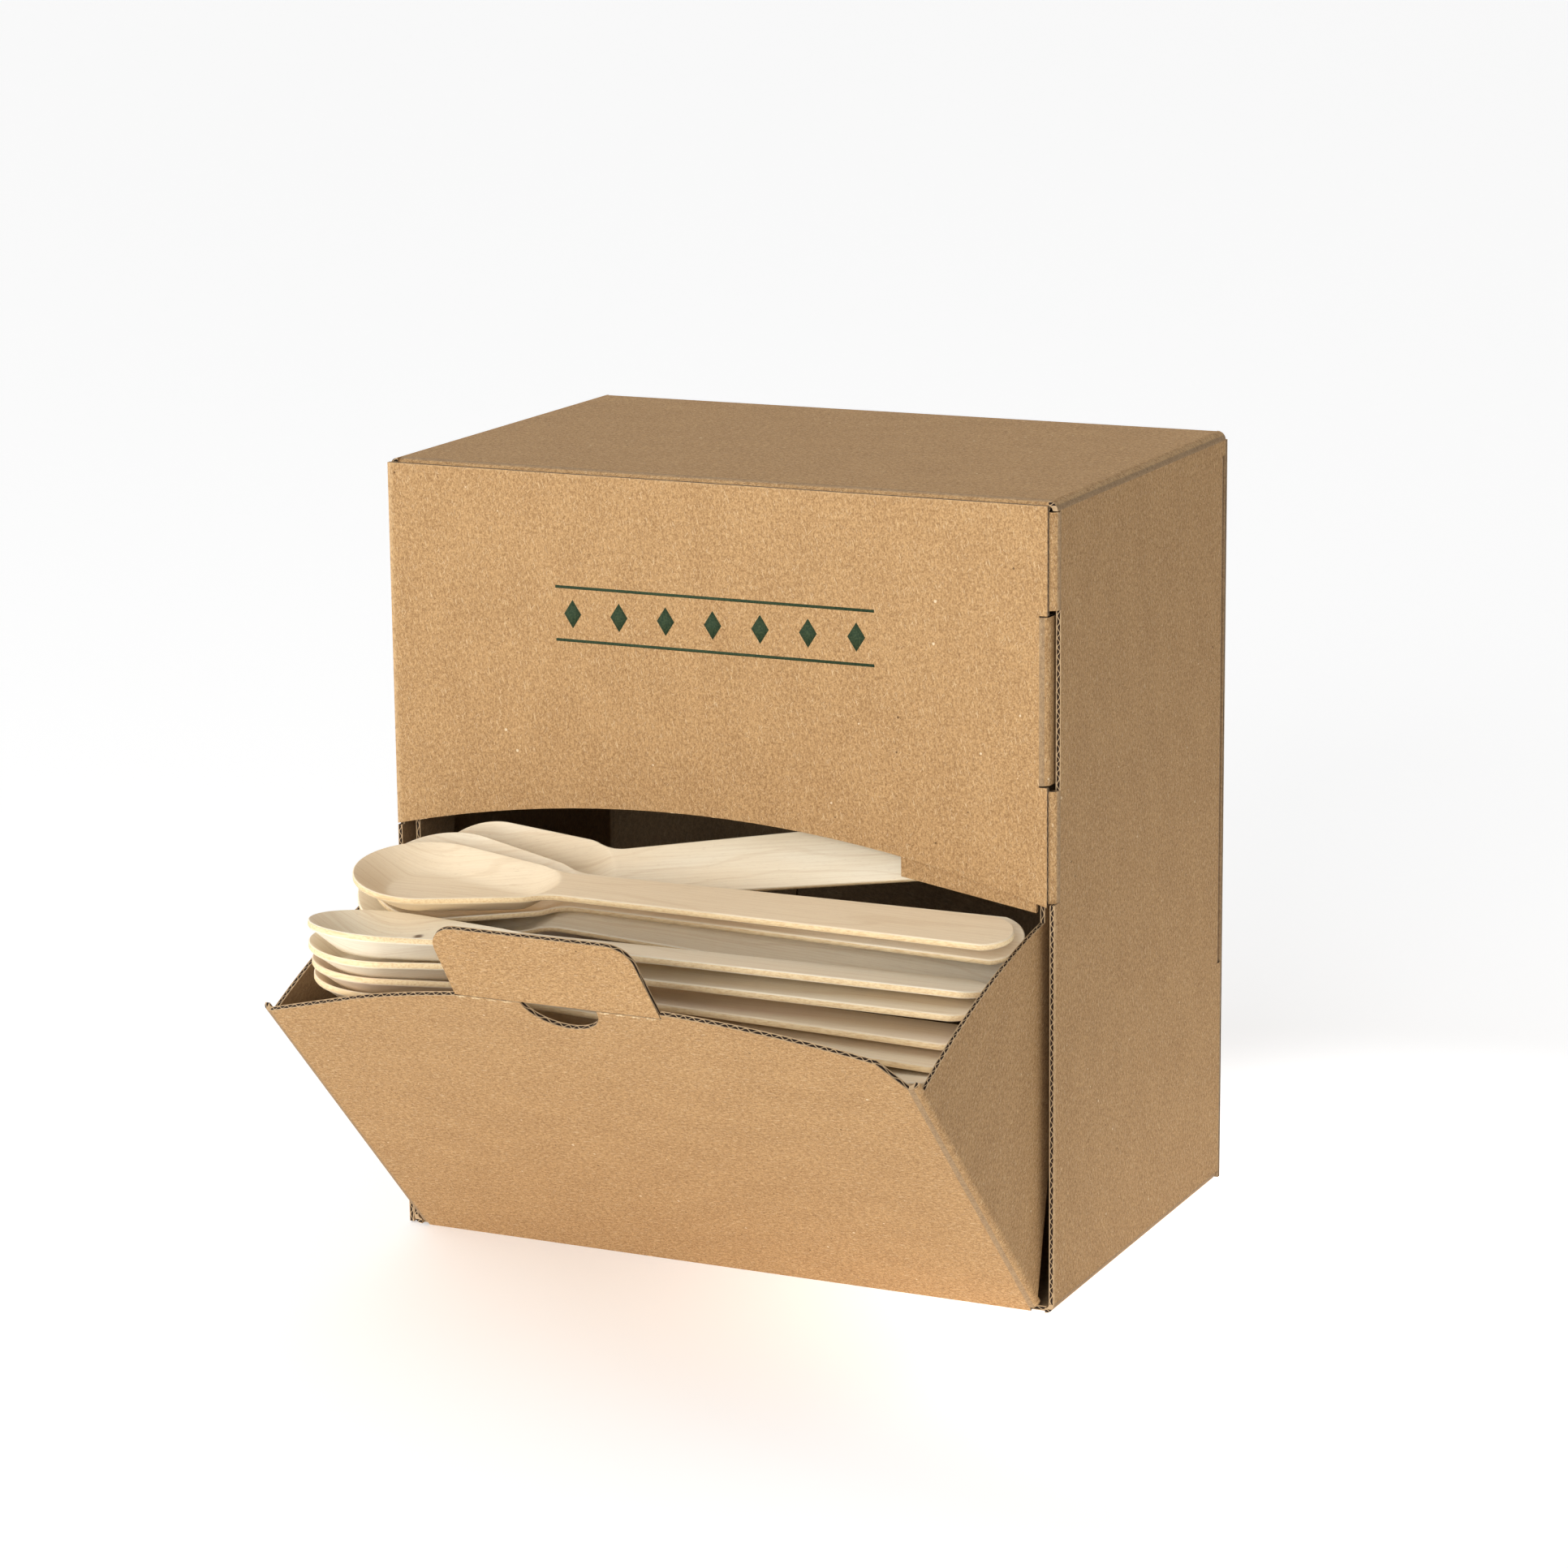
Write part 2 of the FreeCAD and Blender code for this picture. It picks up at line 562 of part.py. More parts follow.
def spoon(label, placement):
    """Spoon pressed from one sheet of veneer: a blank with a dished bowl."""
    body = new_body(label)
    spoon_blank(body, "{veneer}")
    below = [bowl_ring(body, "0", "-{veneer}"), bowl_ring(body, "{bowl_wall}", "-{bowl_depth} - {veneer}")]
    dish = [bowl_ring(body, "0", "0"), bowl_ring(body, "{bowl_wall}", "-{bowl_depth}")]
    ruled_wall(body, "AdditiveLoft", *below)
    ruled_wall(body, "SubtractiveLoft", *dish)
    body.Placement = placement


def spoon_nest(label, height, placement):
    """Bundle of nested spoons seen from outside: one outline, as thick as the bundle."""
    body = new_body(label)
    spoon_blank(body, height)
    body.Placement = placement


# Poses of the spoons: the bowl's tip from the carton's left side, from the front plane and above the table,
# then yaw, pitch and roll in degrees. The handle points right, or left where the yaw is near 180.
LOOSE_SPOONS = {
    "spoon_top": ((13.2, -43.1, 104.9), (10.8, 3.1, 8.7)),
    "spoon_second": ((12.2, -31.7, 101), (9.1, 3, 23)),
    "spoon_left": ((8.1, -32.4, 97.8), (10.3, 5.4, 25.1)),
    "spoon_rear": ((14.1, -15.2, 91.6), (11.2, -7.5, 50.3)),
    "spoon_fan_1": ((16.5, -70.6, 98.8), (16.4, 4.5, -5.7)),
    "spoon_fan_2": ((13.6, -65.1, 92.8), (12.3, 3.5, 0.4)),
    "spoon_fan_3": ((12.1, -60.6, 87.7), (8.8, 3.7, -0.4)),
    "spoon_fan_4": ((11.1, -57.5, 83.8), (5.6, 3.6, 1.3)),
    "spoon_inner": ((10.4, -4.1, 80), (3.1, -1, 12.3)),
    "spoon_under": ((10.7, -41.7, 79.2), (4, 2.5, 15.2)),
    "spoon_low": ((8.9, -45.6, 69.3), (-2, -0.8, -5.5)),
    "spoon_reversed": ((168.1, -43.1, 66.8), (173, 0.8, -10.6)),
}

# Stock under the loose spoons: how thick each bundle of nested spoons is, then its pose in the same way.
NESTS = {
    "spoon_nest_rear": ("{nest_height}", (8, 3, 56), (0, 0, 0)),
}


def pose(place, turns):
    x, y, z = place
    corner = Vector(number(LEFT), number(FRONT), 0)
    return FreeCAD.Placement(corner + Vector(x, y, z), FreeCAD.Rotation(*turns))


# ------------------------------------------------------------------------------------------- put together

def build():
    top_panel()
    bottom_panel()
    side_seam_flap()
    side_panel("left_side_panel", INNER_LEFT, "{floor_clearance}", INNER_FRONT,
               "(%s - {cut_gap})" % arch_height(LEFT))
    side_panel("right_side_panel", RIGHT, "{bend}", CREASE_INNER_FRONT, "{side_step}")
    back_panel()
    back_closing_flap()
    back_dust_flap("back_left_dust_flap", CREASE_LEFT, (CREASE_LEFT, "(%s + {dust_reach})" % LEFT),
                   Y_AXIS, -X_AXIS)
    back_dust_flap("back_right_dust_flap", CREASE_RIGHT, ("(%s - {dust_reach})" % RIGHT, CREASE_RIGHT),
                   X_AXIS, Y_AXIS)
    front_tuck_flap()
    front_return_flap()
    front_panel()
    front_lock_tab()
    tray_panel()
    tray_gusset("tray_right_gusset", GUSSET_OUTSIDE, TRAY_CREASE, -Y_AXIS, X_AXIS)
    tray_gusset("tray_left_gusset", "({board} - %s)" % GUSSET_OUTSIDE, "(-%s)" % TRAY_CREASE,
                -X_AXIS, -Y_AXIS)
    pull_tab()
    for label, (place, turns) in LOOSE_SPOONS.items():
        spoon(label, pose(place, turns))
    for label, (height, place, turns) in NESTS.items():
        spoon_nest(label, height, pose(place, turns))


def check():
    doc.recompute()
    for item in doc.Objects:
        assert not {"Invalid", "Error"} & set(item.State), "%s failed" % item.Label
    for label, item in pieces.items():
        assert not item.Shape.isNull() and item.Shape.isValid(), "%s has no valid shape" % label
        assert len(item.Shape.Solids) == 1, "%s is not one solid" % label


def write():
    os.makedirs("parts", exist_ok=True)
    for label, item in pieces.items():
        item.Shape.exportStep("parts/%s.step" % label)


build()
check()
write()
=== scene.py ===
import math

import bmesh
import bpy
import numpy as np
from mathutils import Matrix


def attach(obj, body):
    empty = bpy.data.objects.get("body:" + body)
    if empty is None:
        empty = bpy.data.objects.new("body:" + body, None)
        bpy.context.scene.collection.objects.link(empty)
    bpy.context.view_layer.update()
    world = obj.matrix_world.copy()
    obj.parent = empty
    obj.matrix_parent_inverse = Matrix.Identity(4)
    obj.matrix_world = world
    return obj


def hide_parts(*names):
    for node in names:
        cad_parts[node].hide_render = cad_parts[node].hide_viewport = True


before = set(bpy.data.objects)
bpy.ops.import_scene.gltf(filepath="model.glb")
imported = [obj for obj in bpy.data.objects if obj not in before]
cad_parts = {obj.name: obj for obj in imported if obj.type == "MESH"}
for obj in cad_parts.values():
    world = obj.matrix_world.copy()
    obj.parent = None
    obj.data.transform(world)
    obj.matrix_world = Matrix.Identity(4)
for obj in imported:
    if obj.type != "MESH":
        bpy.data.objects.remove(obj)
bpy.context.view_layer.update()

# ------------------------------------------------------------------------------------------- the view
# A long lens on a stand to the right of the dispenser and a little above it, turned by half a degree.
# Places are in metres in the carton's own frame: +Z up, the front faces -Y.

EYE = np.array([0.4827, -1.0434, 0.3766])
AIM = np.array([0.0183, -0.0575, 0.1230])
TILT = math.radians(-0.611)

ahead = (AIM - EYE) / np.linalg.norm(AIM - EYE)
level = np.cross(ahead, [0.0, 0.0, 1.0])
level /= np.linalg.norm(level)
upward = np.cross(level, ahead)
right = math.cos(TILT) * level + math.sin(TILT) * upward
up = math.cos(TILT) * upward - math.sin(TILT) * level
stand = np.eye(4)
stand[:3, 0], stand[:3, 1], stand[:3, 2], stand[:3, 3] = right, up, -ahead, EYE

camera = bpy.data.objects.new("camera", bpy.data.cameras.new("camera"))
camera.data.lens = 108.16
camera.data.sensor_width = 36.0
camera.data.clip_start = 0.05
bpy.context.scene.collection.objects.link(camera)
camera.matrix_world = Matrix(stand.tolist())
bpy.context.scene.camera = camera

# ------------------------------------------------------------------------------------------- the carton
# The carton is die-cut from one sheet of brown single-wall board, 1.2 mm thick: two kraft liners with a
# fine fluted medium glued between them. Its panels keep the forms of the solids, and the finish follows
# each panel's own directions, so every raw edge shows the flutes that it really cuts through.

# From here on, sizes are in millimetres, and MM of them make a metre. A flap that lies behind another
# sheet starts SECOND_SHEET in from the carton's face.
MM = 1000.0
BOARD = 1.2
LINER = 0.24
FLUTE_PITCH = 2.5
HALF_WIDE, HALF_DEEP, TALL = 87.5, 57.5, 195.0
SECOND_SHEET = BOARD + 0.1
X, Y, Z = np.eye(3)


def ink(red, green, blue):
    """Screen colour, 0 to 255 a channel, as the linear colour that a shader takes."""
    level = np.array([red, green, blue]) / 255.0
    linear = np.where(level <= 0.04045, level / 12.92, ((level + 0.055) / 1.055) ** 2.4)
    return (*linear.tolist(), 1.0)


def wire(tree, kind, *links, **settings):
    """One shader node. Each link is an input's name or number with a value or the socket that feeds it."""
    made = tree.nodes.new("ShaderNode" + kind)
    for name, value in settings.items():
        setattr(made, name, value)
    for where, value in links:
        if isinstance(value, bpy.types.NodeSocket):
            tree.links.new(value, made.inputs[where])
        else:
            made.inputs[where].default_value = value
    return made


def calc(tree, operation, *values):
    """Arithmetic on sockets and numbers."""
    return wire(tree, "Math", *enumerate(values), operation=operation).outputs[0]


def band(tree, value, low, high):
    """0 below low and 1 above high, with a smooth step between them."""
    made = wire(tree, "MapRange", ("Value", value), ("From Min", low), ("From Max", high),
                interpolation_type="SMOOTHSTEP")
    return made.outputs["Result"]


def blend(tree, share, first, second):
    """Colour that goes from the first to the second as the share goes from 0 to 1."""
    made = wire(tree, "Mix", (0, share), (6, first), (7, second), data_type="RGBA")
    return made.outputs[2]


def stretched(tree, place, turn, size, detail=2.0, roughness=0.5):
    """Noise whose blobs are as long and as wide as size says, in millimetres, turned in the sheet's plane."""
    turned = wire(tree, "Mapping", ("Vector", place), ("Rotation", (0, 0, math.radians(turn))))
    scaled = wire(tree, "Mapping", ("Vector", turned.outputs[0]),
                  ("Scale", (1 / size[0], 1 / size[1], 1 / size[1])))
    return wire(tree, "TexNoise", ("Vector", scaled.outputs[0]), ("Scale", 1.0), ("Detail", detail),
                ("Roughness", roughness)).outputs[0]


def single_wall_board():
    """Shader group of the board: pulp, hairs and specks on the liners, and flutes where it is cut, with
    painted shade in the flutes' hollows.

    Place is millimetres across the flutes, along them, and in from the outer face. Raw is 1 on a cut edge,
    and the third input is 1 on a crease, where folding has roughened the liner and left it paler; the paler
    colour there is also a painted highlight of the rounded crease.
    """
    tree = bpy.data.node_groups.new("single_wall_board", "ShaderNodeTree")
    for name, kind in (("Place", "Vector"), ("Raw", "Float"), ("Worn_and_lit", "Float")):
        tree.interface.new_socket(name, in_out="INPUT", socket_type="NodeSocket" + kind)
    for name, kind in (("Colour", "Color"), ("Relief", "Float")):
        tree.interface.new_socket(name, in_out="OUTPUT", socket_type="NodeSocket" + kind)
    given = tree.nodes.new("NodeGroupInput")
    place, raw = given.outputs["Place"], given.outputs["Raw"]

    clouds = stretched(tree, place, 8, (16, 9), 3, 0.5)
    pulp = stretched(tree, place, 12, (1.3, 0.8), 5, 0.75)
    flour = stretched(tree, place, 0, (0.5, 0.42), 2, 0.6)
    tone = calc(tree, "ADD", calc(tree, "MULTIPLY", clouds, 0.07), calc(tree, "MULTIPLY", pulp, 0.5))
    tone = calc(tree, "ADD", tone, calc(tree, "MULTIPLY", flour, 0.43))
    colour = blend(tree, band(tree, tone, 0.37, 0.63), ink(147, 111, 72), ink(197, 159, 111))

    relief = calc(tree, "MULTIPLY", pulp, 0.6)
    # Hairs by angle, length and width, the noise values they fade in between, strength and colour.
    for turn, size, reach, strength, tint in (
        (14, (2.6, 0.22), (0.66, 0.73), 0.75, ink(222, 194, 154)),
        (-38, (2.0, 0.2), (0.67, 0.74), 0.7, ink(218, 190, 150)),
        (71, (1.8, 0.2), (0.68, 0.75), 0.65, ink(216, 187, 146)),
        (31, (2.2, 0.2), (0.69, 0.76), 0.6, ink(112, 80, 50)),
        (-62, (1.7, 0.2), (0.70, 0.77), 0.55, ink(108, 77, 48)),
    ):
        hair = band(tree, stretched(tree, place, turn, size, 1, 0.4), *reach)
        colour = blend(tree, calc(tree, "MULTIPLY", hair, strength), colour, tint)
        relief = calc(tree, "ADD", relief, calc(tree, "MULTIPLY", hair, 0.5))
    for grid, tint in ((0.24, ink(82, 56, 36)), (0.2, ink(232, 210, 174))):
        speck = wire(tree, "TexVoronoi", ("Vector", place), ("Scale", grid))
        chance = wire(tree, "SeparateXYZ", ("Vector", speck.outputs["Color"])).outputs[0]
        size = calc(tree, "MULTIPLY", calc(tree, "POWER", chance, 3.0), 0.075)
        spot = calc(tree, "LESS_THAN", speck.outputs["Distance"], size)
        colour = blend(tree, calc(tree, "MULTIPLY", spot, 0.75), colour, tint)

    # Along the carton's creases the liner is paler: partly worn by folding, partly a painted highlight of the
    # rounded crease.
    crease_wear_and_highlight = calc(tree, "MULTIPLY", given.outputs["Worn_and_lit"], band(tree, pulp, 0.3, 0.6))
    colour = blend(tree, calc(tree, "MULTIPLY", crease_wear_and_highlight, 0.6), colour, ink(216, 182, 138))
    axes = wire(tree, "SeparateXYZ", ("Vector", place)).outputs
    wobble = calc(tree, "MULTIPLY", calc(tree, "SUBTRACT", stretched(tree, place, 0, (7, 30), 2), 0.5), 2.4)
    turn = calc(tree, "MULTIPLY", calc(tree, "ADD", axes[0], wobble), 2 * math.pi / FLUTE_PITCH)
    core = BOARD / 2 - LINER
    wave = calc(tree, "MULTIPLY", calc(tree, "SINE", turn), core - 0.03)
    from_middle = calc(tree, "SUBTRACT", axes[2], BOARD / 2)
    offset = calc(tree, "ABSOLUTE", calc(tree, "SUBTRACT", from_middle, wave))
    medium = calc(tree, "SUBTRACT", 1.0, band(tree, offset, 0.08, 0.17))
    fray = calc(tree, "MULTIPLY", calc(tree, "SUBTRACT", pulp, 0.5), 0.3)
    inside = calc(tree, "ABSOLUTE", from_middle)
    liner = band(tree, calc(tree, "ADD", inside, fray), core - 0.04, core + 0.05)
    paper = calc(tree, "MAXIMUM", medium, liner)
    # Between the liners and the wavy medium, the flutes' hollows are painted near-black: painted shade of the
    # recesses.
    cut = blend(tree, paper, ink(38, 26, 18), blend(tree, pulp, ink(150, 120, 86), ink(206, 178, 140)))
    # The inner liner is greyer and darker than the outer: partly a greyer liner, partly painted shade of the
    # carton's inside.
    inner = calc(tree, "MULTIPLY", band(tree, axes[2], 0.7 * BOARD, 0.9 * BOARD), 0.55)
    colour = blend(tree, inner, colour, blend(tree, pulp, ink(112, 94, 74), ink(168, 146, 118)))
    colour = blend(tree, raw, colour, cut)
    cut_relief = calc(tree, "MULTIPLY", paper, 4.0)
    relief = wire(tree, "Mix", (0, raw), (2, relief), (3, cut_relief), data_type="FLOAT").outputs[0]

    result = tree.nodes.new("NodeGroupOutput")
    tree.links.new(colour, result.inputs["Colour"])
    tree.links.new(relief, result.inputs["Relief"])
    return tree


board_group = single_wall_board()

# Distances from the carton's edges over which the worn liner and painted crease highlight fade out.
CREASE_FROM, CREASE_TO = 0.3, 1.7
CUT_FACING = 0.6


def carton_creases(tree, here):
    """1 along the carton's twelve edges: there, two of the distances in from its six faces are small.

    The middle one of the three distances along X, Y and Z is small only near an edge.
    """
    axes = wire(tree, "SeparateXYZ", ("Vector", here)).outputs
    in_from = []
    for axis, centre, half in zip(axes, (0.0, 0.0, TALL / 2), (HALF_WIDE, HALF_DEEP, TALL / 2)):
        off_centre = calc(tree, "SUBTRACT", calc(tree, "MULTIPLY", axis, MM), centre)
        in_from.append(calc(tree, "SUBTRACT", half, calc(tree, "ABSOLUTE", off_centre)))
    low, high = [calc(tree, operation, *in_from[:2]) for operation in ("MINIMUM", "MAXIMUM")]
    middle = calc(tree, "MAXIMUM", low, calc(tree, "MINIMUM", high, in_from[2]))
    return calc(tree, "SUBTRACT", 1.0, band(tree, middle, CREASE_FROM, CREASE_TO))


def board_finish(label, face, depth, wave, raw=(), square=True):
    """Board with its outer face through a point in millimetres.

    depth points in from that face, wave across the flutes, and raw lists where the cut edges face. With
    none listed, every face that isn't parallel to the sheet is cut. A square panel is paler at the carton's
    edges: its liner is worn there, and the paler colour is also a painted highlight of the rounded creases.
    """
    material = bpy.data.materials.new(label)
    material.use_nodes = True
    tree = material.node_tree
    here = wire(tree, "TexCoord")
    from_face = wire(tree, "VectorMath", (0, here.outputs["Object"]), (1, tuple(face / MM)),
                     operation="SUBTRACT").outputs[0]
    parts = [wire(tree, "VectorMath", (0, from_face), (1, tuple(MM * axis)), operation="DOT_PRODUCT")
             .outputs["Value"] for axis in (wave, np.cross(depth, wave), depth)]
    place = wire(tree, "CombineXYZ", *enumerate(parts)).outputs[0]
    facing = [wire(tree, "VectorMath", (0, here.outputs["Normal"]), (1, tuple(axis)), operation="DOT_PRODUCT")
              .outputs["Value"] for axis in (raw or (depth,))]
    if raw:
        most = facing[0]
        for other in facing[1:]:
            most = calc(tree, "MAXIMUM", most, other)
        cut = calc(tree, "GREATER_THAN", most, CUT_FACING)
    else:
        cut = calc(tree, "LESS_THAN", calc(tree, "ABSOLUTE", facing[0]), CUT_FACING)
    board = wire(tree, "Group", node_tree=board_group)
    tree.links.new(place, board.inputs["Place"])
    tree.links.new(cut, board.inputs["Raw"])
    if square:
        tree.links.new(carton_creases(tree, here.outputs["Object"]), board.inputs["Worn_and_lit"])
    bump = wire(tree, "Bump", ("Strength", 0.55), ("Distance", 0.00009), ("Height", board.outputs["Relief"]))
    shader = tree.nodes["Principled BSDF"]
    tree.links.new(board.outputs["Colour"], shader.inputs["Base Color"])
    tree.links.new(bump.outputs[0], shader.inputs["Normal"])
    shader.inputs["Roughness"].default_value = 0.86
    shader.inputs["Specular IOR Level"].default_value = 0.22
    return material


def wear(label, finish):
    """Give a solid its finish."""
    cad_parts[label].material_slots[0].material = finish


left_face, back_face = -HALF_WIDE * X, HALF_DEEP * Y
inner_left, inner_back = left_face + SECOND_SHEET * X, back_face - SECOND_SHEET * Y

wear("top_panel", board_finish("board_top", TALL * Z, -Z, X, (Y, -Y)))
wear("bottom_panel", board_finish("board_bottom", 0 * Z, Z, X, (Y, -Y)))
wear("left_side_panel", board_finish("board_left", left_face, X, Z))
wear("side_seam_flap", board_finish("board_seam", inner_left, X, Z))
wear("right_side_panel", board_finish("board_right", -left_face, -X, Z))
wear("back_panel", board_finish("board_back", back_face, -Y, X, (X, -X, -Z)))
wear("back_closing_flap", board_finish("board_closing", inner_back, -Y, X, (X, -X, Z)))
wear("back_left_dust_flap", board_finish("board_dust_left", inner_back, -Y, Z, (X, Z, -Z)))
wear("back_right_dust_flap", board_finish("board_dust_right", inner_back, -Y, Z, (-X, Z, -Z)))
wear("front_tuck_flap", board_finish("board_tuck", -inner_back, Y, X, (X, -X, -Z)))
wear("front_return_flap", board_finish("board_return", -inner_back, Y, Z, (-X, Z, -Z)))

# --------------------------------------------------------------------------------------- the front panel
# The upper front hangs on the left side by its crease. Its flutes run across, and its lock tab is folded
# back into a slit of the right-hand corner. It is printed with a dark green band, and its arched lower edge
# is torn out of the tray along a line of nicks, which leaves fibres of the liner on it.

LOCK_TAB_FACE = 85.7

wear("front_panel", board_finish("board_front", -back_face, Y, Z))
wear("front_lock_tab", board_finish("board_lock", LOCK_TAB_FACE * X, -X, Z, (Y, Z, -Z)))

INK_DEPTH, INK_SUNK = 0.03, 0.02
RULE_LENGTH, RULE_WIDTH, RULE_GAP = 84.0, 0.7, 13.0
LOZENGES, LOZENGE_WIDE, LOZENGE_TALL = 7, 4.6, 7.0
BAND_MIDDLE = (0.0, 160.0)


def printed_band():
    """Printed band: two level rules with a row of lozenges between them, each a thin four-sided prism.

    Corners are a middle plus half the width or height, and each prism repeats its corners at two depths.
    """
    places = np.linspace(-0.5, 0.5, LOZENGES) * (RULE_LENGTH - 2 * LOZENGE_WIDE)
    middles = np.array([(0, RULE_GAP / 2), (0, -RULE_GAP / 2)] + [(place, 0) for place in places])
    rule = np.array([(-1, -1), (1, -1), (1, 1), (-1, 1)]) * (RULE_LENGTH / 2, RULE_WIDTH / 2)
    lozenge = np.array([(-1, 0), (0, -1), (1, 0), (0, 1)]) * (LOZENGE_WIDE / 2, LOZENGE_TALL / 2)
    forms = np.stack([rule] * 2 + [lozenge] * LOZENGES) + middles[:, None] + BAND_MIDDLE
    depths = np.array([-HALF_DEEP - INK_DEPTH, -HALF_DEEP + INK_SUNK])
    count = len(forms)
    points = np.empty((count, 2, 4, 3))
    points[..., 0], points[..., 2] = forms[:, None, :, 0], forms[:, None, :, 1]
    points[..., 1] = depths[None, :, None]
    sides = [(k, (k + 1) % 4, (k + 1) % 4 + 4, k + 4) for k in range(4)]
    prism = np.array([(0, 1, 2, 3), (7, 6, 5, 4)] + sides)
    quads = prism[None] + 8 * np.arange(count)[:, None, None]
    return points.reshape(-1, 3) / MM, quads.reshape(-1, 4)


MERGE = 1e-7


def smooth_mesh(label, points, faces, materials):
    """Mesh with smooth faces and its materials."""
    mesh = bpy.data.meshes.new(label)
    mesh.from_pydata(points.tolist(), [], faces.tolist())
    for material in materials:
        mesh.materials.append(material)
    mesh.polygons.foreach_set("use_smooth", np.ones(len(faces), bool))
    return mesh


def finished(label, mesh, body):
    """Object made of a mesh with its doubles merged and its faces turned outwards, riding on a body."""
    edit = bmesh.new()
    edit.from_mesh(mesh)
    bmesh.ops.remove_doubles(edit, verts=edit.verts, dist=MERGE)
    bmesh.ops.dissolve_degenerate(edit, edges=edit.edges, dist=MERGE)
    bmesh.ops.recalc_face_normals(edit, faces=edit.faces)
    edit.to_mesh(mesh)
    edit.free()
    made = bpy.data.objects.new(label, mesh)
    bpy.context.scene.collection.objects.link(made)
    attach(made, body)
    return made


def plain_finish(label, colours, roughness):
    """Finish with a fine mottle of two like colours, for print and paper fibres."""
    material = bpy.data.materials.new(label)
    material.use_nodes = True
    tree = material.node_tree
    here = wire(tree, "TexCoord").outputs["Object"]
    place = wire(tree, "Mapping", ("Vector", here), ("Scale", (MM, MM, MM))).outputs[0]
    mottle = band(tree, stretched(tree, place, 0, (0.5, 0.5), 3, 0.6), 0.3, 0.75)
    shader = tree.nodes["Principled BSDF"]
    tree.links.new(blend(tree, mottle, *colours), shader.inputs["Base Color"])
    shader.inputs["Roughness"].default_value = roughness
    shader.inputs["Specular IOR Level"].default_value = 0.2
    return material


ink_finish = plain_finish("dark_green_ink", (ink(34, 52, 34), ink(62, 76, 50)), 0.7)
band_points, band_quads = printed_band()
finished("printed_band", smooth_mesh("printed_band", band_points, band_quads, [ink_finish]), "door")

ARCH_PEAK, ARCH_PEAK_X, ARCH_RADIUS = 113.2, -9.0, 329.0
ARCH_ENDS = (-84.0, 80.0)
ARCH_TUFTS, ARCH_TUFT, ARCH_TUFT_LENGTHS = 64, 0.15, (0.9, 3.2)
TUFT_FLAT, TUFT_ROWS, TUFT_AROUND = 0.55, 22, 8
SLOW_SWELL, QUICK_SWELL, SNAKE = (0.35, 17), (0.25, 41), (0.12, 9)


def torn_fibres(label, starts, ends, across, proud, size, seed, body):
    """Ropes of torn liner fibres, one from each start to its end: thin tubes that swell and shrink.

    The radius is size times a half ellipse along the rope, times one plus two sines of random phase, and
    a third sine snakes the middle line. Each sine has a height and a rate. Across and proud are the
    section's directions, and the rope is flatter in the second.
    """
    random = np.random.default_rng(seed)
    share = np.linspace(0, 1, TUFT_ROWS)
    phase = random.uniform(0, 2 * math.pi, (len(starts), 2, 1))
    slow = SLOW_SWELL[0] * np.sin(SLOW_SWELL[1] * share + phase[:, 0])
    quick = QUICK_SWELL[0] * np.sin(QUICK_SWELL[1] * share + phase[:, 1])
    snake = SNAKE[0] * np.sin(SNAKE[1] * share + phase[:, 1])
    radius = size * np.sqrt(np.clip(1 - (2 * share - 1) ** 2, 0, 1)) * (1 + slow + quick)
    middle = starts[:, None] + (ends - starts)[:, None] * share[:, None]
    middle = middle + snake[..., None] * across
    turn = np.linspace(0, 2 * math.pi, TUFT_AROUND, endpoint=False)
    section = np.cos(turn)[:, None] * across + TUFT_FLAT * np.sin(turn)[:, None] * proud
    points = middle[:, :, None] + radius[..., None, None] * section
    rope, row, step = np.meshgrid(np.arange(len(starts)), np.arange(TUFT_ROWS - 1),
                                  np.arange(TUFT_AROUND), indexing="ij")
    first, following = (rope * TUFT_ROWS + row) * TUFT_AROUND, (step + 1) % TUFT_AROUND
    quads = np.stack([first + step, first + following, first + TUFT_AROUND + following,
                      first + TUFT_AROUND + step], axis=3).reshape(-1, 4)
    mesh = smooth_mesh(label, points.reshape(-1, 3) / MM, quads, [fibre_finish])
    return finished(label, mesh, body)


fibre_finish = plain_finish("torn_kraft_fibres", (ink(196, 164, 120), ink(232, 208, 168)), 0.95)


def arch_edge(x):
    """Points in the middle of the sheet on the front panel's lower edge, an arc about a far centre below."""
    height = ARCH_PEAK - ARCH_RADIUS + np.sqrt(ARCH_RADIUS ** 2 - (x - ARCH_PEAK_X) ** 2)
    return np.column_stack([x, np.full(len(x), -HALF_DEEP + BOARD / 2), height])


spread = np.random.default_rng(5)
tuft_starts = np.sort(spread.uniform(*ARCH_ENDS, ARCH_TUFTS))
tuft_ends = tuft_starts + spread.uniform(*ARCH_TUFT_LENGTHS, ARCH_TUFTS)
layer = spread.uniform(-0.5, 0.5, (ARCH_TUFTS, 1)) * (BOARD - 2 * ARCH_TUFT) * Y
torn_fibres("arch_edge_fibres", arch_edge(tuft_starts) + layer, arch_edge(tuft_ends) + layer, Y, -Z,
            ARCH_TUFT, 7, "door")

# ----------------------------------------------------------------------------------------------- the tray
# The tray's sloping panel, its two gussets and the pull tab are one flap of the sheet, tipped out by 44
# degrees about the front edge of the carton's floor. The tab is bent back by 12 degrees along a nicked
# crease, where the liner has torn into a row of pale tufts.

TRAY_TILT = math.radians(44)
TAB_TILT = TRAY_TILT - math.radians(12)
TAB_CREASE_UP = 122.8
GUSSET_FACE = 84.0


def leaning(angle):
    """Directions up a leaning sheet and in from its outer face."""
    return (np.array([0, -math.sin(angle), math.cos(angle)]), np.array([0, math.cos(angle), math.sin(angle)]))


